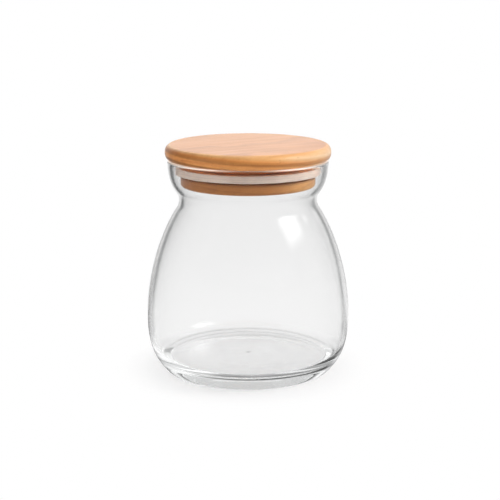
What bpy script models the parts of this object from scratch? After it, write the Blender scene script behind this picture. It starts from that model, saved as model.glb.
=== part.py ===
# Airtight storage jar: a blown glass jar with a pinched neck, closed by a turned
# wooden lid whose plug carries a lipped silicone seal. Metres, +Z up, with the
# origin on the table under the jar's axis.

import bisect
import math

import bpy
from mathutils import Vector

# Shared by every piece
fit_gap = 0.0003
merge_distance = 0.00001
smooth_angle = math.radians(35.0)

# How finely outlines are divided, and how many steps they turn in
turn_steps = 60
mouth_segments = 5
bend_segments = 4
shoulder_segments = 8
belly_segments = 7
heel_segments = 3
rim_segments = 6
floor_segments = 4
dome_segments = 3
edge_segments = 5
plug_edge_segments = 4
lip_tip_segments = 2

# Glass jar, outside
jar_height = 0.1300
rim_radius = 0.0486
mouth_height = 0.0250
neck_inset = 0.0069
neck_bend_radius = 0.0087
mouth_slope = math.radians(37.6)
shoulder_slope = math.radians(33.7)
belly_radius = 0.0617
belly_height = 0.0342
foot_radius = 0.0479
heel_bend_radius = 0.0040
heel_slope = math.radians(42.7)

# Glass jar, wall and base
rim_wall = 0.0027
mouth_wall = 0.0020
belly_wall = 0.0026
base_thickness = 0.0082
floor_crown = 0.0009
pip_radius = 0.0016
pip_height = 0.0004
foot_ring_width = 0.0054
foot_step_height = 0.0003
foot_step_width = 0.0028
push_up_radius = 0.0215
push_up_height = 0.0006
floor_inset = 0.0016
floor_radius = foot_radius - floor_inset

# How far each curve's handles run, as shares of its chord
rim_handle_share = 0.24
mouth_handle_share = 0.39
shoulder_handle_share = 0.25
belly_top_handle_share = 0.38
belly_low_handle_share = 0.55
heel_handle_share = 0.28
inner_belly_handle_share = 0.60
inner_floor_handle_share = 0.33

# Wooden lid: the cap and the plug under it
cap_overhang = 0.0014
cap_thickness = 0.0085
cap_top_edge_depth = 0.0038
cap_low_edge_depth = 0.0022
cap_top_edge_share = 0.50
cap_low_edge_share = 0.42
plug_height = 0.0156
plug_clearance = 0.0031
plug_edge_round = 0.0018
plug_edge_break = 0.0004
groove_drop = 0.0032
groove_depth = 0.0027

# Silicone seal in the plug's groove
seal_height = 0.0044
seal_stand_out = 0.0030
lip_count = 3
lip_root_thickness = 0.0007
lip_tip_thickness = 0.0004
lip_rise = 0.0003


# Outlines: lists of (radius, height) pairs

def bezier_points(start, start_handle, end_handle, end, segments):
    points = []
    for step in range(segments + 1):
        t = step / segments
        u = 1.0 - t
        point = u**3 * start + 3 * u * u * t * start_handle + 3 * u * t * t * end_handle + t**3 * end
        points.append(point)
    return points


def arc_points(centre, radius_across, radius_up, start_angle, end_angle, segments):
    points = []
    for step in range(segments + 1):
        angle = start_angle + (end_angle - start_angle) * step / segments
        offset = Vector((radius_across * math.cos(angle), radius_up * math.sin(angle)))
        points.append(centre + offset)
    return points


def joined(*stretches):
    # Neighbouring stretches share an end point, which is kept once
    outline = []
    for stretch in stretches:
        for point in stretch:
            if not outline or (point - outline[-1]).length > merge_distance:
                outline.append(point)
    return outline


# The jar's side from the rim down to the belly, moved in by a wall at rim, neck and belly

def side_line(wall_at_rim, wall_at_neck, wall_at_belly):
    rim = Vector((rim_radius - wall_at_rim, jar_height - rim_wall / 2))
    belly = Vector((belly_radius - wall_at_belly, belly_height))
    bend_centre = Vector((rim_radius - neck_inset + neck_bend_radius, jar_height - mouth_height))
    bend_radius = neck_bend_radius + wall_at_neck
    bend = arc_points(bend_centre, bend_radius, bend_radius,
                      math.pi - mouth_slope, math.pi + shoulder_slope, bend_segments)
    mouth_direction = Vector((math.sin(mouth_slope), math.cos(mouth_slope)))
    shoulder_direction = Vector((math.sin(shoulder_slope), -math.cos(shoulder_slope)))
    down = Vector((0.0, -1.0))
    mouth_chord = (rim - bend[0]).length
    mouth = bezier_points(rim, rim + down * rim_handle_share * mouth_chord,
                          bend[0] + mouth_direction * mouth_handle_share * mouth_chord, bend[0],
                          mouth_segments)
    belly_chord = (belly - bend[-1]).length
    shoulder = bezier_points(bend[-1], bend[-1] + shoulder_direction * shoulder_handle_share * belly_chord,
                             belly - down * belly_top_handle_share * belly_chord, belly,
                             shoulder_segments)
    return joined(mouth, bend, shoulder)


def outer_side_line():
    return side_line(0.0, 0.0, 0.0)


def inner_side_line():
    return side_line(rim_wall, mouth_wall, belly_wall)


def outer_low_line():
    belly = Vector((belly_radius, belly_height))
    heel_centre = Vector((foot_radius, heel_bend_radius))
    heel = arc_points(heel_centre, heel_bend_radius, heel_bend_radius,
                      -heel_slope, -math.pi / 2, heel_segments)
    chord = (belly - heel[0]).length
    heel_direction = Vector((math.sin(heel_slope), math.cos(heel_slope)))
    side = bezier_points(belly, belly - Vector((0.0, belly_low_handle_share * chord)),
                         heel[0] + heel_direction * heel_handle_share * chord, heel[0],
                         belly_segments)
    return joined(side, heel)


def inner_low_line():
    belly = Vector((belly_radius - belly_wall, belly_height))
    floor_edge = Vector((floor_radius, base_thickness))
    chord = (belly - floor_edge).length
    return bezier_points(belly, belly - Vector((0.0, inner_belly_handle_share * chord)),
                         floor_edge + Vector((inner_floor_handle_share * chord, 0.0)), floor_edge,
                         belly_segments)


def floor_line():
    # From the axis out: the blowing pip, then a floor crowned a little in the middle
    top = base_thickness + floor_crown
    points = [Vector((0.0, top + pip_height)), Vector((pip_radius / 2, top + pip_height / 2))]
    for step in range(floor_segments):
        share = step / floor_segments
        radius = pip_radius + (floor_radius - pip_radius) * share
        points.append(Vector((radius, base_thickness + floor_crown * (1.0 - share**2)**2)))
    return points


def underside_line():
    # The flat foot ring, a slope up to the ledge inside it, then the push-up
    ring_edge = foot_radius - foot_ring_width
    ring = [Vector((foot_radius, 0.0)), Vector((ring_edge, 0.0)),
            Vector((ring_edge - foot_step_width, foot_step_height))]
    dome = []
    for step in range(dome_segments + 1):
        share = 1.0 - step / dome_segments
        rise = push_up_height * (1.0 - share**2)
        dome.append(Vector((push_up_radius * share, foot_step_height + rise)))
    return joined(ring, dome)


def jar_outline():
    rim_centre = Vector((rim_radius - rim_wall / 2, jar_height - rim_wall / 2))
    rim = arc_points(rim_centre, rim_wall / 2, rim_wall / 2, math.pi, 0.0, rim_segments)
    inside = joined(inner_side_line(), inner_low_line())
    outside = joined(outer_side_line(), outer_low_line())
    return joined(floor_line(), reversed(inside), rim, outside, underside_line())


def glass_radius_at(height):
    # Radius of the mouth's inner wall at a height above the table
    line = list(reversed(inner_side_line()))
    heights = [point.y for point in line]
    above = min(max(bisect.bisect_left(heights, height), 1), len(line) - 1)
    low, high = line[above - 1], line[above]
    share = (height - low.y) / (high.y - low.y)
    return low.x + (high.x - low.x) * share


# The lid's pieces are drawn in the lid's own frame, whose height zero is the top of the rim

def plug_radius():
    return glass_radius_at(jar_height - plug_height) - plug_clearance


def cap_outline():
    radius = rim_radius + cap_overhang
    underside = fit_gap
    top = underside + cap_thickness
    top_edge = cap_thickness * cap_top_edge_share
    low_edge = cap_thickness * cap_low_edge_share
    upper = arc_points(Vector((radius - cap_top_edge_depth, top - top_edge)), cap_top_edge_depth, top_edge,
                       math.pi / 2, 0.0, edge_segments)
    lower = arc_points(Vector((radius - cap_low_edge_depth, underside + low_edge)), cap_low_edge_depth,
                       low_edge, 0.0, -math.pi / 2, edge_segments)
    return joined([Vector((0.0, top))], upper, lower, [Vector((0.0, underside))])


def plug_outline():
    radius = plug_radius()
    groove_floor = radius - groove_depth
    groove_top = -groove_drop
    groove_low = groove_top - seal_height - 2 * fit_gap
    broken = radius - plug_edge_break
    neck = [Vector((0.0, 0.0)), Vector((radius, 0.0)),
            Vector((radius, groove_top + plug_edge_break)), Vector((broken, groove_top))]
    groove = [Vector((groove_floor, groove_top)), Vector((groove_floor, groove_low))]
    flange = [Vector((broken, groove_low)), Vector((radius, groove_low - plug_edge_break))]
    foot = arc_points(Vector((radius - plug_edge_round, plug_edge_round - plug_height)),
                      plug_edge_round, plug_edge_round, 0.0, -math.pi / 2, plug_edge_segments)
    return joined(neck, groove, flange, foot, [Vector((0.0, -plug_height))])


def lip_points(root_height, body_radius):
    # One lip, swept up a little where it bears on the glass
    tip_height = root_height + lip_rise
    reach = glass_radius_at(jar_height + tip_height) - fit_gap
    root_half = lip_root_thickness / 2
    tip_half = lip_tip_thickness / 2
    tip = arc_points(Vector((reach - tip_half, tip_height)), tip_half, tip_half,
                     math.pi / 2, -math.pi / 2, lip_tip_segments)
    return joined([Vector((body_radius, root_height + root_half))], tip,
                  [Vector((body_radius, root_height - root_half))])


def seal_outline():
    top = -groove_drop - fit_gap
    low = top - seal_height
    inner = plug_radius() - groove_depth + fit_gap
    body = plug_radius() + seal_stand_out
    lip_pitch = seal_height / lip_count
    outline = [Vector((inner, top)), Vector((body, top))]
    for index in range(lip_count):
        root_height = top - lip_pitch * (index + 0.5)
        outline += lip_points(root_height, body)
    outline += [Vector((body, low)), Vector((inner, low))]
    return outline


# Objects

def add_material(name, colour, roughness, transmission=0.0, ior=1.5):
    material = bpy.data.materials.new(name)
    material.use_nodes = True
    shader = material.node_tree.nodes["Principled BSDF"]
    shader.inputs["Base Color"].default_value = (*colour, 1.0)
    shader.inputs["Metallic"].default_value = 0.0
    shader.inputs["Roughness"].default_value = roughness
    shader.inputs["Transmission Weight"].default_value = transmission
    shader.inputs["IOR"].default_value = ior
    material.diffuse_color = (*colour, 1.0)
    return material


def add_turned(name, outline, closed, material, collection, parent=None):
    # An outline at +X, run down its outer side and turned about Z
    count = len(outline)
    edges = [(index, index + 1) for index in range(count - 1)]
    if closed:
        edges.append((count - 1, 0))
    mesh = bpy.data.meshes.new(name)
    mesh.from_pydata([(point.x, 0.0, point.y) for point in outline], edges, [])
    mesh.materials.append(material)
    piece = bpy.data.objects.new(name, mesh)
    collection.objects.link(piece)
    piece.parent = parent
    turn = piece.modifiers.new("Turn", 'SCREW')
    turn.axis = 'Z'
    turn.angle = math.tau
    turn.steps = turn_steps
    turn.render_steps = turn_steps
    turn.use_merge_vertices = True
    turn.merge_threshold = merge_distance
    return piece


def finish_surface(piece):
    # The turned mesh takes the outline's place, so that its sharp edges can be marked
    view = bpy.context.evaluated_depsgraph_get()
    outline = piece.data
    piece.data = bpy.data.meshes.new_from_object(piece.evaluated_get(view))
    piece.modifiers.clear()
    bpy.data.meshes.remove(outline)
    piece.data.name = piece.name
    piece.data.shade_smooth()
    piece.data.set_sharp_from_angle(angle=smooth_angle)


def add_jar(collection):
    glass = add_material("Clear glass", (0.95, 0.97, 0.96), 0.02, transmission=1.0, ior=1.5)
    return add_turned("glass_jar", jar_outline(), False, glass, collection)


def add_lid(collection):
    lid = bpy.data.objects.new("lid", None)
    lid.location = (0.0, 0.0, jar_height)
    lid.empty_display_size = rim_radius
    collection.objects.link(lid)
    cap_wood = add_material("Oiled beech, cap", (0.72, 0.42, 0.22), 0.45)
    plug_wood = add_material("Oiled beech, plug", (0.58, 0.30, 0.14), 0.50)
    silicone = add_material("Clear silicone", (0.86, 0.83, 0.79), 0.40, transmission=0.4, ior=1.41)
    add_turned("lid_cap", cap_outline(), False, cap_wood, collection, lid)
    add_turned("lid_plug", plug_outline(), False, plug_wood, collection, lid)
    add_turned("lid_seal", seal_outline(), True, silicone, collection, lid)
    return lid


def clear_scene():
    for item in list(bpy.data.objects):
        bpy.data.objects.remove(item, do_unlink=True)


def build():
    clear_scene()
    collection = bpy.data.collections.new("Airtight storage jar")
    bpy.context.scene.collection.children.link(collection)
    add_jar(collection)
    add_lid(collection)
    for piece in [item for item in collection.objects if item.type == 'MESH']:
        finish_surface(piece)


build()
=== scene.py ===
import math

import bpy
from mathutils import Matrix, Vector
from mathutils.geometry import interpolate_bezier


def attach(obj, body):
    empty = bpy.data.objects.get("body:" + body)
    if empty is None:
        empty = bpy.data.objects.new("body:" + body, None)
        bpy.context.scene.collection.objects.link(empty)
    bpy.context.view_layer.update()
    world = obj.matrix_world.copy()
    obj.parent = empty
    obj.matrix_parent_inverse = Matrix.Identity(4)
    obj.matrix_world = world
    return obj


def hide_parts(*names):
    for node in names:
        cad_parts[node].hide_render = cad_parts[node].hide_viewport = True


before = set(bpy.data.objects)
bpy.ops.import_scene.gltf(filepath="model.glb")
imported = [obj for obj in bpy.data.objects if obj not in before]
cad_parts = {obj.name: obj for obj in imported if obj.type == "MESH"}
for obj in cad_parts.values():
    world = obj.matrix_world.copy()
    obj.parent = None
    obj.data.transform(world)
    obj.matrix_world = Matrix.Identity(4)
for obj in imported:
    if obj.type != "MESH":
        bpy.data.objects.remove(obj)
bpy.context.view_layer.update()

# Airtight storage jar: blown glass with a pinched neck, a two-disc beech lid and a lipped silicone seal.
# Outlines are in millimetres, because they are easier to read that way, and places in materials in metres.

millimetre = 0.001
pencilSize = 0.01
weldDistance = 0.000004
noiseLow, noiseHigh = 0.3, 0.7              # a noise texture mostly stays between these
print("Frame loaded:", ", ".join(sorted(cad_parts)))


# Helpers that the pieces share

def deselectAll():
    bpy.ops.object.select_all(action='DESELECT')


def traceOutline(start, stretches):
    # Each stretch: handle out, handle in, end point, number of steps; a straight one has only end and steps
    points = [Vector(start)]
    for stretch in stretches:
        here, end, steps = points[-1], Vector(stretch[-2]), stretch[-1]
        if len(stretch) == 2:
            points += [here.lerp(end, step / steps) for step in range(1, steps + 1)]
        else:
            curve = interpolate_bezier(here, Vector(stretch[0]), Vector(stretch[1]), end, steps + 1)
            points += [point.to_2d() for point in curve[1:]]
    return [point * millimetre for point in points]


def turnOutline(name, points, values):
    # A plane merged to one vertex is the pencil: it is extruded along the half outline, then spun
    deselectAll()
    bpy.ops.mesh.primitive_plane_add(size=pencilSize, location=(0.0, 0.0, 0.0))
    piece = bpy.context.active_object
    piece.name = name
    piece.data.name = name
    bpy.ops.object.mode_set(mode='EDIT')
    bpy.ops.mesh.select_all(action='SELECT')
    bpy.ops.mesh.merge(type='CENTER')
    bpy.ops.transform.translate(value=(points[0].x, 0.0, points[0].y))
    for last, point in zip(points, points[1:]):
        move = point - last
        bpy.ops.mesh.extrude_region_move(TRANSFORM_OT_translate={"value": (move.x, 0.0, move.y)})
    bpy.ops.mesh.select_all(action='SELECT')
    bpy.ops.mesh.spin(steps=values["turnSteps"], angle=math.tau, center=(0.0, 0.0, 0.0),
                      axis=(0.0, 0.0, 1.0))
    bpy.ops.mesh.select_all(action='SELECT')
    bpy.ops.mesh.remove_doubles(threshold=weldDistance)
    bpy.ops.mesh.normals_make_consistent(inside=False)
    bpy.ops.object.mode_set(mode='OBJECT')
    bpy.ops.object.shade_smooth_by_angle(angle=math.radians(values["smoothAngle"]))
    return piece


# Helpers for the materials. Most of them put one node in a tree, feed it and give what it puts out

def newMaterial(name):
    material = bpy.data.materials.new(name)
    material.use_nodes = True
    return material, material.node_tree


def grey(level):
    return (level, level, level, 1.0)


def addNode(tree, place, kind, **settings):
    node = tree.nodes.new(kind)
    node.location = place
    for setting, value in settings.items():
        setattr(node, setting, value)
    return node


def setInputs(node, **values):
    for socket, value in values.items():
        node.inputs[socket.replace("_", " ")].default_value = value


def feed(tree, node, sources):
    # A source is what another node puts out, or a fixed value
    for socket, source in sources.items():
        if isinstance(source, bpy.types.NodeSocket):
            tree.links.new(source, node.inputs[socket])
        else:
            node.inputs[socket].default_value = source


def calculate(tree, place, operation, *sources, clamp=False):
    node = addNode(tree, place, "ShaderNodeMath", operation=operation, use_clamp=clamp)
    feed(tree, node, dict(enumerate(sources)))
    return node.outputs["Value"]


def calculateVector(tree, place, operation, *sources):
    node = addNode(tree, place, "ShaderNodeVectorMath", operation=operation)
    feed(tree, node, dict(enumerate(sources)))
    return node.outputs["Value" if operation in ('DOT_PRODUCT', 'LENGTH') else "Vector"]


def splitVector(tree, place, vector):
    node = addNode(tree, place, "ShaderNodeSeparateXYZ")
    feed(tree, node, {"Vector": vector})
    return node.outputs


def mapValue(tree, place, value, low, high, toLow=0.0, toHigh=1.0, smooth=True):
    easing = 'SMOOTHSTEP' if smooth else 'LINEAR'
    node = addNode(tree, place, "ShaderNodeMapRange", interpolation_type=easing)
    feed(tree, node, {"Value": value, "From Min": low, "From Max": high, "To Min": toLow, "To Max": toHigh})
    return node.outputs["Result"]


def mixColours(tree, place, share, first, second, blend='MIX'):
    node = addNode(tree, place, "ShaderNodeMix", data_type='RGBA', blend_type=blend)
    feed(tree, node, {"Factor": share, "A": first, "B": second})
    return node.outputs["Result"]


def mixShaders(tree, place, share, first, second):
    node = addNode(tree, place, "ShaderNodeMixShader")
    feed(tree, node, {0: share, 1: first, 2: second})
    return node.outputs["Shader"]


def addRamp(tree, place, value, stops):
    # Each stop: its position, and a grey level or a colour of three parts
    ramp = addNode(tree, place, "ShaderNodeValToRGB")
    while len(ramp.color_ramp.elements) < len(stops):
        ramp.color_ramp.elements.new(0.5)
    for element, (position, tone) in zip(ramp.color_ramp.elements, stops):
        element.position = position
        element.color = (*tone, 1.0) if isinstance(tone, tuple) else grey(tone)
    feed(tree, ramp, {"Fac": value})
    return ramp.outputs["Color"]


def stretchPattern(tree, place, vector, scale):
    node = addNode(tree, place, "ShaderNodeMapping")
    feed(tree, node, {"Vector": vector, "Scale": scale})
    return node.outputs["Vector"]


def addNoise(tree, place, vector, **settings):
    noise = addNode(tree, place, "ShaderNodeTexNoise")
    setInputs(noise, **settings)
    feed(tree, noise, {"Vector": vector})
    return noise.outputs["Fac"]


def addBump(tree, place, height, strength, depth):
    bump = addNode(tree, place, "ShaderNodeBump")
    feed(tree, bump, {"Height": height, "Strength": strength, "Distance": depth})
    return bump.outputs["Normal"]


# The glass jar, its wall drawn as one closed outline

glassJar = {
    "floorCentre": (0.0, 9.14),
    "outline": [
        ((1.2, 9.14), (2.0, 9.1), (3.4, 9.1), 9),                         # pip left by the blowing
        ((18.0, 9.1), (30.9, 8.2), (46.3, 8.2), 12),                      # floor, crowned a little
        ((55.864, 8.2), (59.1, 16.811), (59.1, 34.2), 24),                # up the inside
        ((59.1, 59.739), (50.821, 85.084), (41.498, 99.063), 26),
        ((38.953, 102.88), (39.124, 107.894), (41.923, 111.529), 12),     # pinched neck
        ((46.105, 116.96), (45.9, 124.431), (45.9, 128.65), 12),
        ((45.9, 129.396), (46.504, 130.0), (47.25, 130.0), 6),            # fire-polished rim
        ((47.996, 130.0), (48.6, 129.396), (48.6, 128.65), 6),
        ((48.6, 124.081), (48.037, 116.19), (43.507, 110.308), 12),       # down the outside
        ((41.231, 107.353), (41.092, 103.276), (43.162, 100.173), 12),
        ((52.668, 85.92), (61.7, 60.241), (61.7, 34.2), 26),
        ((61.7, 15.138), (57.421, 8.419), (50.84, 1.287), 22),
        ((50.082, 0.467), (49.017, 0.0), (47.9, 0.0), 7),                 # heel
        ((43.4, 0.0), 2),                                                 # foot ring it stands on
        ((42.0, 0.0), (38.0, 0.25), (34.0, 0.25), 12),
        ((22.5, 0.25), 4),                                                # ledge, then the push-up
        ((18.0, 0.25), (9.0, 0.7), (0.0, 0.7), 14),
    ],
    "turnSteps": 192,
    "smoothAngle": 50.0,

    # Clear glass, faintly grey where it is thick, with the slow ripples and wiped film of use
    "ior": 1.5,
    "clearness": (0.98, 0.98, 0.98, 1.0),
    "tint": (0.25, 0.28, 0.28, 1.0),
    "tintDensity": 4.0,
    "rippleStretch": (1.0, 1.0, 0.45),
    "rippleScale": 26.0,
    "rippleStrength": 0.10,
    "rippleDepth": 0.0012,
    "filmScale": 70.0,
    "filmFrom": 0.55,
    "filmTo": 0.8,
    "filmRoughness": 0.025,

    # Painted shade: dark edge lines on the inner side of the wall
    "innerFrom": -0.3,
    "innerTo": -0.7,
    "grazing": 0.5,
    "middleHalf": 0.02,                     # left turns to right over this distance from the middle
    "leftPaintedEdge": (0.22, 0.23, 0.23, 1.0),
    "rightPaintedEdge": (0.07, 0.075, 0.075, 1.0),
    "edgeFrom": 0.71,
    "edgeTo": 0.86,
    "edgeLow": 0.014,
    "edgeHigh": 0.026,
    "tiltFrom": 0.0,
    "tiltTo": 0.10,
    "uprightShare": 0.25,

    # Painted shade on the light mirrored inside the wall
    "leftWallShade": 0.02,
    "rightWallShade": 0.05,
    "wallFrom": 0.232,
    "wallTo": 0.262,
    "heelShade": 0.95,
    "heelTop": 0.018,
    "bellyTop": 0.090,

    # Painted shade: rings at the back of the floor, and the pip's grey dot
    "paintedRingsFrom": 0.045,
    "paintedRingsTo": 0.053,
    "rings": ((0.10, 1.0), (0.25, 0.66), (0.42, 1.0), (0.62, 1.0), (0.76, 0.58), (0.92, 1.0)),
    "floorHeight": 0.012,
    "floorBand": 0.006,
    "backReach": 0.030,
    "paintedPipShade": 0.50,
    "pipInner": 0.0004,
    "pipOuter": 0.0030,

    # Painted light: glow in the heel, along its right outline and in the rim
    "glowTop": 0.026,
    "glowReach": 0.060,
    "glows": ((0.25, 0.44), (0.42, 0.34), (0.50, 0.28), (0.62, 0.20), (0.75, 0.07), (0.86, 0.02)),
    "glowInner": 0.020,
    "glowOuter": 0.034,
    "glowBounces": 1.5,
    "streakScale": (26.0, 26.0, 260.0),
    "streakFrom": 0.42,
    "streakTo": 0.58,
    "streakLow": 0.45,
    "outlineFrom": 0.70,
    "outlineTo": 0.86,
    "paintedOutlineGlow": (0.30, 0.30, 0.30, 1.0),
    "paintedRimGlow": (0.61, 0.50, 0.42, 1.0),
    "rimFrom": 0.1288,
    "rimTo": 0.1296,
    "rimMiddle": 0.004,
    "rimSide": 0.028,

    # What the lamps lose on their way through
    "shadowGrazing": 0.35,
    "shadowTint": (0.985, 0.987, 0.987, 1.0),
    "shadowEdge": (0.80, 0.81, 0.81, 1.0),
}


def makeGlass(values):
    material, tree = newMaterial("clearGlass")
    shader = tree.nodes["Principled BSDF"]
    output = tree.nodes["Material Output"]
    setInputs(shader, IOR=values["ior"], Transmission_Weight=1.0, Metallic=0.0, Emission_Strength=1.0)
    coordinates = addNode(tree, (-1600, 0), "ShaderNodeTexCoord").outputs
    backfacing = addNode(tree, (-1600, 700), "ShaderNodeNewGeometry").outputs["Backfacing"]
    rays = addNode(tree, (-1600, -500), "ShaderNodeLightPath").outputs
    layers = addNode(tree, (-1600, 300), "ShaderNodeLayerWeight")
    setInputs(layers, Blend=values["grazing"])
    grazing = layers.outputs["Facing"]
    place = splitVector(tree, (-1000, 950), coordinates["Object"])
    normal = splitVector(tree, (-1000, 250), coordinates["Normal"])
    toRight = mapValue(tree, (-800, 1500), place["X"], -values["middleHalf"], values["middleHalf"])

    # Which side of the wall: the true outward normal against the direction from the axis
    flat = calculateVector(tree, (-1400, 500), 'MULTIPLY', coordinates["Object"], (1.0, 1.0, 0.0))
    radial = calculateVector(tree, (-1200, 500), 'NORMALIZE', flat)
    facing = calculateVector(tree, (-1000, 500), 'DOT_PRODUCT', coordinates["Normal"], radial)
    flip = calculate(tree, (-1200, 700), 'MULTIPLY_ADD', backfacing, -2.0, 1.0)
    side = calculate(tree, (-800, 600), 'MULTIPLY', facing, flip)
    innerSide = mapValue(tree, (-600, 700), side, values["innerFrom"], values["innerTo"], smooth=False)

    # Painted reflection: met edge on, the inner side of the wall is tinted dark, as if it showed the dark
    # of the room, less so where the wall stands upright and mirrors only the white table
    edgeOn = mapValue(tree, (-600, 400), grazing, values["edgeFrom"], values["edgeTo"])
    innerEdge = calculate(tree, (-400, 600), 'MULTIPLY', innerSide, edgeOn)
    aboveHeel = mapValue(tree, (-600, 900), place["Z"], values["edgeLow"], values["edgeHigh"])
    highEdge = calculate(tree, (-350, 700), 'MULTIPLY', innerEdge, aboveHeel)
    tilt = calculate(tree, (-800, 250), 'ABSOLUTE', normal["Z"])
    tilted = mapValue(tree, (-600, 250), tilt, values["tiltFrom"], values["tiltTo"], values["uprightShare"])
    edgeShare = calculate(tree, (-300, 450), 'MULTIPLY', highEdge, tilted)
    paintedEdgeShade = mixColours(tree, (-400, 300), toRight, values["leftPaintedEdge"], values["rightPaintedEdge"])
    edgeColour = mixColours(tree, (-200, 500), edgeShare, values["clearness"], paintedEdgeShade)

    # Painted shade on light mirrored inside the wall: it stays white only at the very outline. Further in
    # it is darkened as if it came from dark sides of the room, less dark on the right, and low down only a
    # little, as from the white table
    height = mapValue(tree, (-800, 950), place["Z"], values["heelTop"], values["bellyTop"])
    paintedWallDark = mapValue(tree, (-600, 1500), toRight, 0.0, 1.0, values["leftWallShade"], values["rightWallShade"],
                        smooth=False)
    wallShade = mapValue(tree, (-400, 1350), grazing, values["wallFrom"], values["wallTo"], paintedWallDark,
                         smooth=False)
    shade = mixColours(tree, (-200, 1150), height, grey(values["heelShade"]), wallShade)
    leaving = calculate(tree, (-200, 850), 'MULTIPLY', rays["Is Reflection Ray"], backfacing)
    paintedWallColour = mixColours(tree, (0, 500), leaving, edgeColour, shade, 'MULTIPLY')

    # Painted shade: two soft grey rings at the back of the floor, where it turns up into the wall, seen
    # only from above, and a grey dot painted on the pip
    outward = calculateVector(tree, (-800, 1900), 'LENGTH', flat)
    paintedRingPlace = mapValue(tree, (-600, 1900), outward, values["paintedRingsFrom"], values["paintedRingsTo"], smooth=False)
    rings = addRamp(tree, (-400, 1900), paintedRingPlace, values["rings"])
    onFloor = calculate(tree, (-600, 2150), 'COMPARE', place["Z"], values["floorHeight"],
                        values["floorBand"])
    fromAbove = calculate(tree, (-800, 2350), 'SUBTRACT', 1.0, backfacing)
    seenFloor = calculate(tree, (-500, 2150), 'MULTIPLY', onFloor, fromAbove)
    atBack = mapValue(tree, (-600, 2350), place["Y"], 0.0, values["backReach"])
    ringShare = calculate(tree, (-400, 2200), 'MULTIPLY', seenFloor, atBack)
    ringed = mixColours(tree, (200, 700), ringShare, paintedWallColour, rings, 'MULTIPLY')
    paintedPipShade = mapValue(tree, (-600, 2550), outward, values["pipInner"], values["pipOuter"],
                       values["paintedPipShade"])
    paintedPipDot = mixColours(tree, (400, 700), seenFloor, ringed, paintedPipShade, 'MULTIPLY')

    # Slow ripples of a blown wall, and a faint film where hands have wiped it
    stretched = stretchPattern(tree, (-1000, 0), coordinates["Object"], values["rippleStretch"])
    ripples = addNoise(tree, (-800, -200), stretched, Scale=values["rippleScale"], Detail=1.0,
                       Roughness=0.4)
    bump = addBump(tree, (-500, -200), ripples, values["rippleStrength"], values["rippleDepth"])
    film = addNoise(tree, (-800, 100), stretched, Scale=values["filmScale"], Detail=3.0, Roughness=0.6)
    filmed = mapValue(tree, (-500, 100), film, values["filmFrom"], values["filmTo"], 0.0,
                      values["filmRoughness"], smooth=False)

    # Painted light: the thick heel glows in streaks on rays that have met the glass at least twice, most on
    # the side away from the window, standing in for light the renderer loses after many mirrorings
    low = mapValue(tree, (-400, -350), place["Z"], values["heelTop"], values["glowTop"], 1.0, 0.0)
    deep = calculate(tree, (-400, -500), 'GREATER_THAN', rays["Glossy Depth"], values["glowBounces"])
    deepAndLow = calculate(tree, (-300, -600), 'MULTIPLY', deep, low)
    banded = stretchPattern(tree, (-1000, -800), coordinates["Object"], values["streakScale"])
    streaks = addNoise(tree, (-800, -800), banded, Scale=1.0, Detail=2.0, Roughness=0.5)
    streaked = mapValue(tree, (-600, -1150), streaks, values["streakFrom"], values["streakTo"],
                        values["streakLow"])
    inHeel = mapValue(tree, (-600, -1300), outward, values["glowInner"], values["glowOuter"])
    heelStreaks = calculate(tree, (-400, -1200), 'MULTIPLY', inHeel, streaked)
    paintedGlowShare = calculate(tree, (-200, -750), 'MULTIPLY', deepAndLow, heelStreaks)
    across = mapValue(tree, (-600, -900), place["X"], -values["glowReach"], values["glowReach"],
                      smooth=False)
    paintedSideGlow = addRamp(tree, (-400, -900), across, values["glows"])
    paintedGlow = mixColours(tree, (-100, -600), paintedGlowShare, grey(0.0), paintedSideGlow)

    # Painted light: the rim glows as well, a painted highlight for the light of the wood above it, least in
    # the middle
    onRim = mapValue(tree, (-400, -1400), place["Z"], values["rimFrom"], values["rimTo"])
    offMiddle = calculate(tree, (-600, -1600), 'ABSOLUTE', place["X"])
    rimSides = mapValue(tree, (-400, -1650), offMiddle, values["rimMiddle"], values["rimSide"])
    rimShare = calculate(tree, (-200, -1500), 'MULTIPLY', onRim, rimSides)
    withPaintedRim = mixColours(tree, (100, -700), rimShare, paintedGlow, values["paintedRimGlow"])

    # Painted reflection: seen by the camera, the heel's right outline glows as if it mirrored the white
    # table beside it
    paintedOutlineShare = mapValue(tree, (-600, -1850), grazing, values["outlineFrom"], values["outlineTo"])
    for column, part in enumerate((rays["Is Camera Ray"], low, toRight)):
        paintedOutlineShare = calculate(tree, (200 * column - 400, -1850), 'MULTIPLY', paintedOutlineShare, part)
    withPaintedOutline = mixColours(tree, (300, -700), paintedOutlineShare, withPaintedRim, values["paintedOutlineGlow"], 'ADD')
    feed(tree, shader, {"Base Color": paintedPipDot, "Roughness": filmed, "Normal": bump,
                        "Emission Color": withPaintedOutline})

    # Lamps shine through it, less where the wall is met edge on
    shadowLayers = addNode(tree, (-400, 950), "ShaderNodeLayerWeight")
    setInputs(shadowLayers, Blend=values["shadowGrazing"])
    shadowColour = mixColours(tree, (-200, 950), shadowLayers.outputs["Facing"], values["shadowTint"],
                              values["shadowEdge"])
    passing = addNode(tree, (0, 650), "ShaderNodeBsdfTransparent")
    feed(tree, passing, {"Color": shadowColour})
    clear = passing.outputs["BSDF"]
    forDiffuse = mixShaders(tree, (300, 300), rays["Is Diffuse Ray"], shader.outputs["BSDF"], clear)
    forShadow = mixShaders(tree, (500, 300), rays["Is Shadow Ray"], forDiffuse, clear)
    tint = addNode(tree, (300, 0), "ShaderNodeVolumeAbsorption")
    setInputs(tint, Color=values["tint"], Density=values["tintDensity"])
    feed(tree, output, {"Surface": forShadow, "Volume": tint.outputs["Volume"]})
    return material


glass = turnOutline("glassJar", traceOutline(glassJar["floorCentre"], glassJar["outline"]), glassJar)
glass.data.materials.append(makeGlass(glassJar))
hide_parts("glass_jar")
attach(glass, "jar")
print("Glass jar turned:", len(glass.data.polygons), "faces")


# The wooden lid: a cap that rests on the rim and a plug that goes into the mouth

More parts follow.
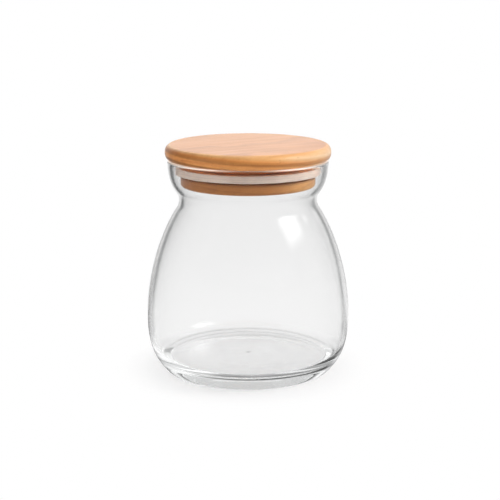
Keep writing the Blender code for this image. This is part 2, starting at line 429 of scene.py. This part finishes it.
lidCap = {
    "topCentre": (0.0, 138.8),
    "outline": [
        ((46.2, 138.8), 8),
        ((48.299, 138.8), (50.0, 136.897), (50.0, 134.55), 14),           # upper edge, well rounded
        ((50.0, 133.87), 1),
        ((50.0, 131.898), (49.015, 130.3), (47.8, 130.3), 12),            # lower edge
        ((0.0, 130.3), 8),
    ],
    "turnSteps": 192,
    "smoothAngle": 40.0,
    "pale": (0.79, 0.335, 0.092, 1.0),
    "dark": (0.50, 0.160, 0.034, 1.0),
    "coat": 0.16,
    "sheen": 0.25,
    "paintedBandsFrom": 0.130,
    "paintedBandsTo": 0.139,
    "paintedBandsLean": 0.003,
    # Bands by height on the edge: painted shade at the bottom, painted light from below, a painted shade
    # band, and a painted highlight and sheen at the top edge
    "paintedBands": ((0.0, (0.62, 0.58, 0.50)), (0.07, (1.20, 1.26, 1.30)), (0.28, (1.18, 1.24, 1.26)),
              (0.37, (0.78, 0.74, 0.68)), (0.45, (0.74, 0.70, 0.64)), (0.59, (0.90, 0.86, 0.80)),
              (0.66, (1.06, 1.14, 1.28)), (0.78, (1.06, 1.34, 1.80)), (0.90, (1.20, 1.66, 2.50)),
              (1.0, (1.22, 1.56, 2.10))),
    # Painted sheen on the side towards the window lamp
    "paintedSheen": (0.76, 0.92, 1.40, 1.0),
    "pith": (0.0, 0.025, 0.300),
    "turned": 30.0,
}

lidPlug = {
    "topCentre": (0.0, 130.0),
    "outline": [
        ((40.498, 130.0), 6),
        ((40.498, 127.2), 3),
        ((40.498, 126.95), (40.348, 126.8), (40.098, 126.8), 3),          # into the seal's groove
        ((37.798, 126.8), 3),
        ((37.798, 120.8), 4),
        ((40.098, 120.8), 3),
        ((40.348, 120.8), (40.498, 120.65), (40.498, 120.4), 3),
        ((40.498, 116.2), 4),
        ((40.498, 115.206), (39.692, 114.4), (38.698, 114.4), 8),         # rounded foot
        ((0.0, 114.4), 6),
    ],
    "turnSteps": 160,
    "smoothAngle": 40.0,
    "pale": (0.55, 0.215, 0.050, 1.0),
    "dark": (0.33, 0.105, 0.017, 1.0),
    "coat": 0.05,
    "sheen": 0.25,
    "paintedBandsFrom": 0.1192,
    "paintedBandsTo": 0.1272,
    "paintedBandsLean": 0.0,
    # Bands by height: painted shade just below the seal, and painted light on the neck above it, which lies
    # in the cap's shadow
    "paintedBands": ((0.0, (1.0, 1.0, 1.0)), (0.175, (0.60, 0.54, 0.50)), (0.58, (0.60, 0.54, 0.50)),
              (0.62, (2.3, 2.0, 0.9)), (1.0, (2.3, 2.0, 0.9))),
    # Painted sheen on the side towards the window lamp
    "paintedSheen": (1.35, 1.75, 2.50, 1.0),
    "pith": (0.0, -0.020, 0.240),
    "turned": 14.0,
}

# Both discs are cut from the same beech. Each pattern: stretch, detail, roughness and distortion
beech = {
    "ringScale": 60.0,
    "ringShare": 0.45,
    "fibres": ((14.0, 420.0, 420.0), 4.0, 0.65, 0.0),
    "broad": ((5.0, 46.0, 46.0), 3.0, 0.55, 0.4),
    "flecks": ((330.0, 2300.0, 1500.0), 1.0, 0.4, 0.0),
    "ringStops": ((0.0, 0.15), (0.62, 0.30), (0.93, 1.0), (1.0, 0.25)),
    "broadStops": ((0.34, 0.0), (0.68, 1.0)),
    "fleckStops": ((0.66, 0.0), (0.74, 1.0)),
    "fibreShare": 0.16,
    "broadShare": 0.42,
    "fleckShare": 0.55,
    "fleckTone": (0.62, 0.52, 0.45, 1.0),
    "smoothest": 0.36,
    "roughest": 0.50,
    "ior": 1.48,
    "coatRoughness": 0.28,
    "sheenRoughness": 0.4,
    "sheenTint": (1.0, 0.88, 0.72, 1.0),
    "endFrom": 0.55,
    "endShare": 0.45,
    "endTone": (0.72, 0.60, 0.50, 1.0),
    "topFrom": 0.999,                       # the flat top ends where the normal leans this far
    "topTo": 0.97,
    # Where the painted sheen towards the window lamp begins and is full
    "paintedSheenFrom": 0.20,
    "paintedSheenTo": 0.95,
    "grainStrength": 0.25,
    "grainDepth": 0.0002,
}


def makeGrainGroup(values):
    # Plain-sawn beech: growth rings round a far-off pith, fibres along X and short ray flecks
    group = bpy.data.node_groups.new("beechGrain", "ShaderNodeTree")
    for name, kind in (("Vector", "NodeSocketVector"), ("Pale", "NodeSocketColor"),
                       ("Dark", "NodeSocketColor")):
        group.interface.new_socket(name, in_out='INPUT', socket_type=kind)
    for name, value in (("Ring Scale", values["ringScale"]), ("Ring Share", values["ringShare"])):
        socket = group.interface.new_socket(name, in_out='INPUT', socket_type="NodeSocketFloat")
        socket.default_value = value
    for name, kind in (("Colour", "NodeSocketColor"), ("Roughness", "NodeSocketFloat"),
                       ("Height", "NodeSocketFloat")):
        group.interface.new_socket(name, in_out='OUTPUT', socket_type=kind)
    start = addNode(group, (-1400, 0), "NodeGroupInput").outputs
    finish = addNode(group, (900, 0), "NodeGroupOutput")

    rings = addNode(group, (-900, 300), "ShaderNodeTexWave", wave_type='RINGS', rings_direction='X',
                    wave_profile='SAW')
    setInputs(rings, Distortion=2.2, Detail=2.0, Detail_Scale=0.6, Detail_Roughness=0.5)
    feed(group, rings, {"Vector": start["Vector"], "Scale": start["Ring Scale"]})
    patterns = []
    for row, name in enumerate(("fibres", "broad", "flecks")):
        stretch, detail, roughness, distortion = values[name]
        along = stretchPattern(group, (-1150, -300 * row - 100), start["Vector"], stretch)
        patterns.append(addNoise(group, (-900, -300 * row - 100), along, Scale=1.0, Detail=detail,
                                 Roughness=roughness, Distortion=distortion))
    fibres, broad, flecks = patterns
    ringMask = addRamp(group, (-650, 300), rings.outputs["Fac"], values["ringStops"])
    broadMask = addRamp(group, (-650, -400), broad, values["broadStops"])
    fleckMask = addRamp(group, (-650, -700), flecks, values["fleckStops"])

    ringPart = calculate(group, (-350, 300), 'MULTIPLY', ringMask, start["Ring Share"])
    broadPart = calculate(group, (-350, -300), 'MULTIPLY', broadMask, values["broadShare"])
    fibrePart = mapValue(group, (-650, -100), fibres, noiseLow, noiseHigh, -values["fibreShare"],
                         values["fibreShare"], smooth=False)
    ringsAndBroad = calculate(group, (-150, 200), 'ADD', ringPart, broadPart)
    darkness = calculate(group, (0, 100), 'ADD', ringsAndBroad, fibrePart, clamp=True)
    tone = mixColours(group, (200, 100), darkness, start["Pale"], start["Dark"])
    fleckPart = calculate(group, (200, -300), 'MULTIPLY', fleckMask, values["fleckShare"])
    flecked = mixColours(group, (450, 0), fleckPart, tone, values["fleckTone"], 'MULTIPLY')
    roughness = mapValue(group, (450, -300), fibres, 0.25, 0.75, values["smoothest"], values["roughest"],
                         smooth=False)
    height = calculate(group, (450, -550), 'SUBTRACT', fibres, fleckMask)
    feed(group, finish, {"Colour": flecked, "Roughness": roughness, "Height": height})
    return group


# Darker end grain, plus painted light and shade: bands by height and a painted sheen on one side
def makeAgeingAndLightGroup(values):
    group = bpy.data.node_groups.new("beechAgeingAndPaintedLight", "ShaderNodeTree")
    for name, kind in (("Colour", "NodeSocketColor"), ("Normal", "NodeSocketVector"),
                       ("Fibres", "NodeSocketVector"), ("Rings", "NodeSocketColor"),
                       ("Painted Sheen", "NodeSocketColor")):
        group.interface.new_socket(name, in_out='INPUT', socket_type=kind)
    group.interface.new_socket("Colour", in_out='OUTPUT', socket_type="NodeSocketColor")
    start = addNode(group, (-1200, 0), "NodeGroupInput").outputs
    finish = addNode(group, (300, 0), "NodeGroupOutput")
    normal = splitVector(group, (-900, -200), start["Normal"])

    # End grain, where the round edge crosses the fibres, drinks more oil and goes darker
    along = calculateVector(group, (-900, 200), 'DOT_PRODUCT', start["Normal"], start["Fibres"])
    across = calculate(group, (-700, 200), 'ABSOLUTE', along)
    endShare = mapValue(group, (-500, 200), across, values["endFrom"], 1.0, 0.0, values["endShare"],
                        smooth=False)
    endGrain = mixColours(group, (-300, 100), endShare, start["Colour"], values["endTone"], 'MULTIPLY')

    # Painted light and shade: bands of tone by height on the turned edge, but not on the flat top
    offTop = mapValue(group, (-500, -100), normal["Z"], values["topFrom"], values["topTo"], smooth=False)
    ringed = mixColours(group, (-100, 0), offTop, endGrain, start["Rings"], 'MULTIPLY')

    # Painted sheen: the side that faces the window lamp is painted paler
    paintedSheenShare = mapValue(group, (-500, -400), normal["X"], values["paintedSheenFrom"], values["paintedSheenTo"])
    withPaintedSheen = mixColours(group, (100, -100), paintedSheenShare, ringed, start["Painted Sheen"], 'MULTIPLY')
    feed(group, finish, {"Colour": withPaintedSheen})
    return group


def makeWood(name, values, wood, grainGroup, ageingAndLightGroup):
    material, tree = newMaterial(name)
    shader = tree.nodes["Principled BSDF"]
    setInputs(shader, IOR=wood["ior"], Coat_Weight=values["coat"], Coat_Roughness=wood["coatRoughness"],
              Sheen_Weight=values["sheen"], Sheen_Roughness=wood["sheenRoughness"],
              Sheen_Tint=wood["sheenTint"])
    coordinates = addNode(tree, (-1300, 0), "ShaderNodeTexCoord").outputs
    turn = math.radians(values["turned"])
    turned = addNode(tree, (-1100, 0), "ShaderNodeMapping")
    setInputs(turned, Location=values["pith"], Rotation=(0.0, 0.0, -turn))
    feed(tree, turned, {"Vector": coordinates["Object"]})
    grain = addNode(tree, (-850, 0), "ShaderNodeGroup", node_tree=grainGroup)
    feed(tree, grain, {"Vector": turned.outputs["Vector"], "Pale": values["pale"], "Dark": values["dark"]})

    # Painted light and shade in bands by height, which run down a little to the right
    place = splitVector(tree, (-1100, 500), coordinates["Object"])
    normal = splitVector(tree, (-1100, 700), coordinates["Normal"])
    leaning = calculate(tree, (-900, 600), 'MULTIPLY_ADD', normal["X"], values["paintedBandsLean"], place["Z"])
    rising = mapValue(tree, (-700, 600), leaning, values["paintedBandsFrom"], values["paintedBandsTo"], smooth=False)
    paintedBands = addRamp(tree, (-500, 600), rising, values["paintedBands"])
    ageingAndLight = addNode(tree, (-200, 300), "ShaderNodeGroup", node_tree=ageingAndLightGroup)
    feed(tree, ageingAndLight, {"Colour": grain.outputs["Colour"], "Normal": coordinates["Normal"],
                        "Fibres": (math.cos(turn), math.sin(turn), 0.0), "Rings": paintedBands,
                        "Painted Sheen": values["paintedSheen"]})
    bump = addBump(tree, (-250, -300), grain.outputs["Height"], wood["grainStrength"], wood["grainDepth"])
    feed(tree, shader, {"Base Color": ageingAndLight.outputs["Colour"], "Roughness": grain.outputs["Roughness"],
                        "Normal": bump})
    return material


beechGrain = makeGrainGroup(beech)
beechAgeingAndPaintedLight = makeAgeingAndLightGroup(beech)
cap = turnOutline("lidCap", traceOutline(lidCap["topCentre"], lidCap["outline"]), lidCap)
cap.data.materials.append(makeWood("capBeech", lidCap, beech, beechGrain, beechAgeingAndPaintedLight))
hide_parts("lid_cap")
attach(cap, "lid")

plug = turnOutline("lidPlug", traceOutline(lidPlug["topCentre"], lidPlug["outline"]), lidPlug)
plug.data.materials.append(makeWood("plugBeech", lidPlug, beech, beechGrain, beechAgeingAndPaintedLight))
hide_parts("lid_plug")
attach(plug, "lid")
print("Lid turned:", len(cap.data.polygons), "and", len(plug.data.polygons), "faces")


# The silicone seal: a milky ring with three thin lips

seal = {
    "top": 126.5,
    "low": 122.1,
    "inner": 38.098,
    "body": 43.498,
    "edgeRound": 0.35,
    "lipHeights": (125.767, 124.3, 122.833),
    "lipReach": (45.589, 45.525, 45.446),
    "lipRise": 0.3,
    "lipRoot": 0.06,
    "rootHalf": 0.35,
    "rootCurve": 0.5,
    "tipHalf": 0.20,
    "tipCurve": 1.0,
    "tipEase": 0.2,
    "tipRound": 0.08,
    "turnSteps": 160,
    "smoothAngle": 40.0,
    "ior": 1.41,
    "colour": (0.90, 0.74, 0.635, 1.0),
    "softness": 0.35,
    "softReach": 0.002,
    "softRadius": (1.0, 0.8, 0.65),
    "cloudScale": 160.0,
    "cloudTone": 0.90,
    "smoothest": 0.34,
    "roughest": 0.48,
    "satinScale": 2600.0,
    "satinStrength": 0.12,
    "satinDepth": 0.0001,
    "lipColour": (0.92, 0.84, 0.78, 1.0),
    "lipRoughness": 0.50,
    "lipAlpha": 0.045,
    "hazeScale": 900.0,
    "hazeSpread": 0.15,
}


def sealBodyOutline(values):
    # A plain ring in the plug's groove, its outer corners eased
    inner, body, top, low, ease = (values[name] for name in ("inner", "body", "top", "low", "edgeRound"))
    return traceOutline((inner, top), [
        ((body - ease, top), 6),
        ((body - ease / 2, top), (body, top - ease / 2), (body, top - ease), 4),
        ((body, low + ease), 8),
        ((body, low + ease / 2), (body - ease / 2, low), (body - ease, low), 4),
        ((inner, low), 6),
        ((inner, top), 6),
    ])


def lipOutline(values, height, reach):
    # One lip, rooted in the body and swept up a little where it bears on the glass
    root, tip, tipHeight = values["rootHalf"], values["tipHalf"], height + values["lipRise"]
    start = values["body"] - values["lipRoot"]
    leaving, arriving = start + values["rootCurve"], reach - values["tipCurve"]
    eased, rounded = reach - values["tipEase"], reach - values["tipRound"]
    return traceOutline((start, height + root), [
        ((leaving, height + root), (arriving, tipHeight + tip), (eased, tipHeight + tip), 6),
        ((rounded, tipHeight + tip), (reach, tipHeight + tip / 2), (reach, tipHeight), 4),
        ((reach, tipHeight - tip / 2), (rounded, tipHeight - tip), (eased, tipHeight - tip), 4),
        ((arriving, tipHeight - tip), (leaving, height - root), (start, height - root), 6),
        ((start, height + root), 2),
    ])


def makeSilicone(values):
    material, tree = newMaterial("milkySilicone")
    shader = tree.nodes["Principled BSDF"]
    setInputs(shader, IOR=values["ior"], Subsurface_Weight=values["softness"],
              Subsurface_Scale=values["softReach"], Subsurface_Radius=values["softRadius"])
    place = addNode(tree, (-1200, 0), "ShaderNodeTexCoord").outputs["Object"]

    # Cloudy depth and the fine satin of the mould
    cloud = addNoise(tree, (-800, -150), place, Scale=values["cloudScale"], Detail=3.0, Roughness=0.6)
    cloudTone = mapValue(tree, (-500, -150), cloud, noiseLow, noiseHigh, values["cloudTone"], smooth=False)
    clouded = mixColours(tree, (-50, 150), 1.0, values["colour"], cloudTone, 'MULTIPLY')
    roughness = mapValue(tree, (-500, -400), cloud, noiseLow, noiseHigh, values["smoothest"],
                         values["roughest"], smooth=False)
    satin = addNoise(tree, (-800, -650), place, Scale=values["satinScale"], Detail=1.0)
    bump = addBump(tree, (-300, -650), satin, values["satinStrength"], values["satinDepth"])
    feed(tree, shader, {"Base Color": clouded, "Roughness": roughness, "Normal": bump})
    return material


def makeThinSilicone(values):
    # The lips are so thin that they are only a faint haze over what lies behind
    material, tree = newMaterial("thinSilicone")
    shader = tree.nodes["Principled BSDF"]
    setInputs(shader, Base_Color=values["lipColour"], IOR=values["ior"])
    place = addNode(tree, (-900, 0), "ShaderNodeTexCoord").outputs["Object"]
    haze = addNoise(tree, (-700, 0), place, Scale=values["hazeScale"], Detail=2.0)
    least, most = 1.0 - values["hazeSpread"], 1.0 + values["hazeSpread"]
    for socket, row, level in (("Roughness", 100, values["lipRoughness"]),
                               ("Alpha", -200, values["lipAlpha"])):
        hazed = mapValue(tree, (-450, row), haze, noiseLow, noiseHigh, level * least, level * most,
                         smooth=False)
        feed(tree, shader, {socket: hazed})
    return material


sealBody = turnOutline("lidSealBody", sealBodyOutline(seal), seal)
sealBody.data.materials.append(makeSilicone(seal))
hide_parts("lid_seal")
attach(sealBody, "lid")

thinSilicone = makeThinSilicone(seal)
for number, (height, reach) in enumerate(zip(seal["lipHeights"], seal["lipReach"]), 1):
    lip = turnOutline(f"lidSealLip{number}", lipOutline(seal, height, reach), seal)
    lip.data.materials.append(thinSilicone)
    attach(lip, "lid")
print("Seal turned:", len(sealBody.data.polygons), "faces, with", len(seal["lipReach"]), "clear lips")


# The floor, the white sweep behind it and the camera

studio = {
    "floorSize": 16.0,
    "floorDrop": 0.0001,
    "floorColour": (0.88, 0.88, 0.885, 1.0),
    "floorRoughness": 0.9,
    "veil": 0.50,                           # share of burnt-out white near the jar, and how far it reaches
    "veilStart": 0.044,
    "veilEnd": 0.082,
    "reflectedLevel": 0.08,
    "sweepToward": (0.105, 0.9945, 0.0),
    "sweepEdge": 0.643,
    "sweepMiddle": 0.829,
    "fillLevel": 0.25,
    "cameraPlace": (0.0012, -0.850, 0.2623),
    "cameraDown": 12.526,
    "sensor": 36.0,
    "lens": 102.72,
}


def rayKinds(tree):
    # Rays that see a surface straight on or through glass, and rays that only mirror it
    rays = addNode(tree, (-700, 500), "ShaderNodeLightPath").outputs
    through = rays["Is Transmission Ray"]
    straight = calculate(tree, (-500, 600), 'ADD', rays["Is Camera Ray"], through, clamp=True)
    mirrored = calculate(tree, (-500, 400), 'SUBTRACT', rays["Is Glossy Ray"], through, clamp=True)
    return straight, mirrored


def whiteBehind(tree, vector, values):
    # Mirrored, the sweep is white behind the jar, a little more to the right, and dark at both sides
    flat = calculateVector(tree, (-900, -300), 'MULTIPLY', vector, (1.0, 1.0, 0.0))
    bearing = calculateVector(tree, (-750, -300), 'NORMALIZE', flat)
    toward = calculateVector(tree, (-600, -300), 'DOT_PRODUCT', bearing, values["sweepToward"])
    return mapValue(tree, (-300, -300), toward, values["sweepEdge"], values["sweepMiddle"],
                    values["reflectedLevel"])


def addLight(tree, place, kind, strength):
    # White light from the floor or the world
    light = addNode(tree, place, kind)
    feed(tree, light, {"Color": grey(1.0), "Strength": strength})
    return light.outputs[0]


def makeFloor(values):
    material, tree = newMaterial("paperFloor")
    shader = tree.nodes["Principled BSDF"]
    setInputs(shader, Base_Color=values["floorColour"], Roughness=values["floorRoughness"],
              Specular_IOR_Level=0.0)
    straight, mirrored = rayKinds(tree)
    place = addNode(tree, (-900, 0), "ShaderNodeTexCoord").outputs["Object"]

    # Straight on or through glass, the sweep burns out to white away from the jar
    distance = calculateVector(tree, (-700, 0), 'LENGTH', place)
    veil = mapValue(tree, (-500, 0), distance, values["veilStart"], values["veilEnd"], values["veil"])
    share = calculate(tree, (-100, 200), 'MULTIPLY', veil, straight)
    white = addLight(tree, (0, -300), "ShaderNodeEmission", 1.0)
    seen = mixShaders(tree, (200, 0), share, shader.outputs["BSDF"], white)

    # Reflections meet a dimmer room, as they do between black screens
    dim = addLight(tree, (200, -300), "ShaderNodeEmission", whiteBehind(tree, place, values))
    reflected = mixShaders(tree, (450, 0), mirrored, seen, dim)
    feed(tree, tree.nodes["Material Output"], {"Surface": reflected})
    return material


def makeWorld(values):
    world = bpy.context.scene.world or bpy.data.worlds.new("studio")
    bpy.context.scene.world = world
    world.use_nodes = True
    tree = world.node_tree
    tree.nodes.clear()
    direction = addNode(tree, (-1100, -300), "ShaderNodeTexCoord").outputs["Generated"]
    fill = addLight(tree, (0, 200), "ShaderNodeBackground", values["fillLevel"])
    white = addLight(tree, (0, 0), "ShaderNodeBackground", 1.0)
    dim = addLight(tree, (0, -200), "ShaderNodeBackground", whiteBehind(tree, direction, values))
    straight, mirrored = rayKinds(tree)
    seen = mixShaders(tree, (200, 100), straight, fill, white)
    reflected = mixShaders(tree, (400, 0), mirrored, seen, dim)
    feed(tree, addNode(tree, (600, 0), "ShaderNodeOutputWorld"), {"Surface": reflected})


deselectAll()
bpy.ops.mesh.primitive_plane_add(size=studio["floorSize"], location=(0.0, 0.0, -studio["floorDrop"]))
floor = bpy.context.active_object
floor.name = "floor"
floor.data.materials.append(makeFloor(studio))
makeWorld(studio)

bpy.ops.object.camera_add(location=studio["cameraPlace"],
                          rotation=(math.radians(90.0 - studio["cameraDown"]), 0.0, 0.0))
camera = bpy.context.active_object
camera.data.sensor_width = studio["sensor"]
camera.data.lens = studio["lens"]
bpy.context.scene.camera = camera
bpy.context.scene.view_settings.view_transform = 'Standard'
print("Floor, backdrop and camera placed")


# Each lamp: bearing round the jar (0 = camera side, 90 = right), height angle, distance, width, height
# and power
lamps = {
    "windowBox": (75.0, 38.0, 1.20, 0.80, 0.60, 15.5),
    "windowGlow": (75.5, 37.5, 1.20, 0.84, 0.70, 8.4),
    "sideStrip": (109.0, 36.0, 1.20, 0.26, 0.60, 1.6),
    "backCard": (180.0, 17.0, 1.60, 1.50, 0.60, 3.3),
    "topBox": (180.0, 58.0, 1.40, 0.80, 0.50, 6.2),
    "frontTop": (5.0, 60.0, 1.40, 0.80, 0.60, 6.2),
    "leftFill": (-60.0, 5.0, 1.30, 1.00, 0.80, 13.0),
    "rightFill": (84.0, 20.0, 1.30, 0.80, 0.60, 10.5),
}
aim = Vector((0.0, 0.0, 0.09))
softRim = 0.36
halfWidth = 0.5                             # a lamp's own places run from 0 to 1 across it
notMirrored = ("windowBox", "frontTop", "leftFill", "rightFill")


def makeFalloffGroup():
    # A soft box is brightest in its middle, and its cloth darkens towards the frame
    group = bpy.data.node_groups.new("softBoxFalloff", "ShaderNodeTree")
    group.interface.new_socket("Place", in_out='INPUT', socket_type="NodeSocketVector")
    group.interface.new_socket("Rim", in_out='INPUT', socket_type="NodeSocketFloat")
    group.interface.new_socket("Strength", in_out='OUTPUT', socket_type="NodeSocketFloat")
    start = addNode(group, (-1000, 0), "NodeGroupInput").outputs
    finish = addNode(group, (100, 0), "NodeGroupOutput")
    place = splitVector(group, (-800, 0), start["Place"])
    inner = calculate(group, (-500, -500), 'SUBTRACT', halfWidth, start["Rim"])
    fades = []
    for row, axis in enumerate("XY"):
        offMiddle = calculate(group, (-600, -200 * row), 'SUBTRACT', place[axis], halfWidth)
        away = calculate(group, (-450, -200 * row), 'ABSOLUTE', offMiddle)
        fades.append(mapValue(group, (-300, -200 * row), away, inner, halfWidth, 1.0, 0.0))
    feed(group, finish, {"Strength": calculate(group, (-100, 0), 'MULTIPLY', *fades)})
    return group


def softenEdges(lamp, falloffGroup, rim):
    lamp.data.use_nodes = True
    tree = lamp.data.node_tree
    where = addNode(tree, (-600, 0), "ShaderNodeNewGeometry").outputs["Parametric"]
    falloff = addNode(tree, (-300, 0), "ShaderNodeGroup", node_tree=falloffGroup)
    feed(tree, falloff, {"Place": where, "Rim": rim})
    feed(tree, tree.nodes["Emission"], {"Strength": falloff.outputs["Strength"]})


softBox = makeFalloffGroup()
for name, (bearing, lift, distance, width, height, power) in lamps.items():
    bearing, lift = math.radians(bearing), math.radians(lift)
    direction = Vector((math.sin(bearing) * math.cos(lift), -math.cos(bearing) * math.cos(lift),
                        math.sin(lift)))
    bpy.ops.object.light_add(type='AREA', location=aim + direction * distance)
    lamp = bpy.context.active_object
    lamp.name = name
    lamp.rotation_euler = direction.to_track_quat('Z', 'Y').to_euler()
    lamp.data.shape = 'RECTANGLE'
    lamp.data.size = width
    lamp.data.size_y = height
    lamp.data.energy = power
    lamp.visible_camera = False
    lamp.visible_transmission = name == "windowGlow"
    lamp.visible_glossy = name not in notMirrored
    softenEdges(lamp, softBox, softRim)
print("Lamps placed:", len(lamps))
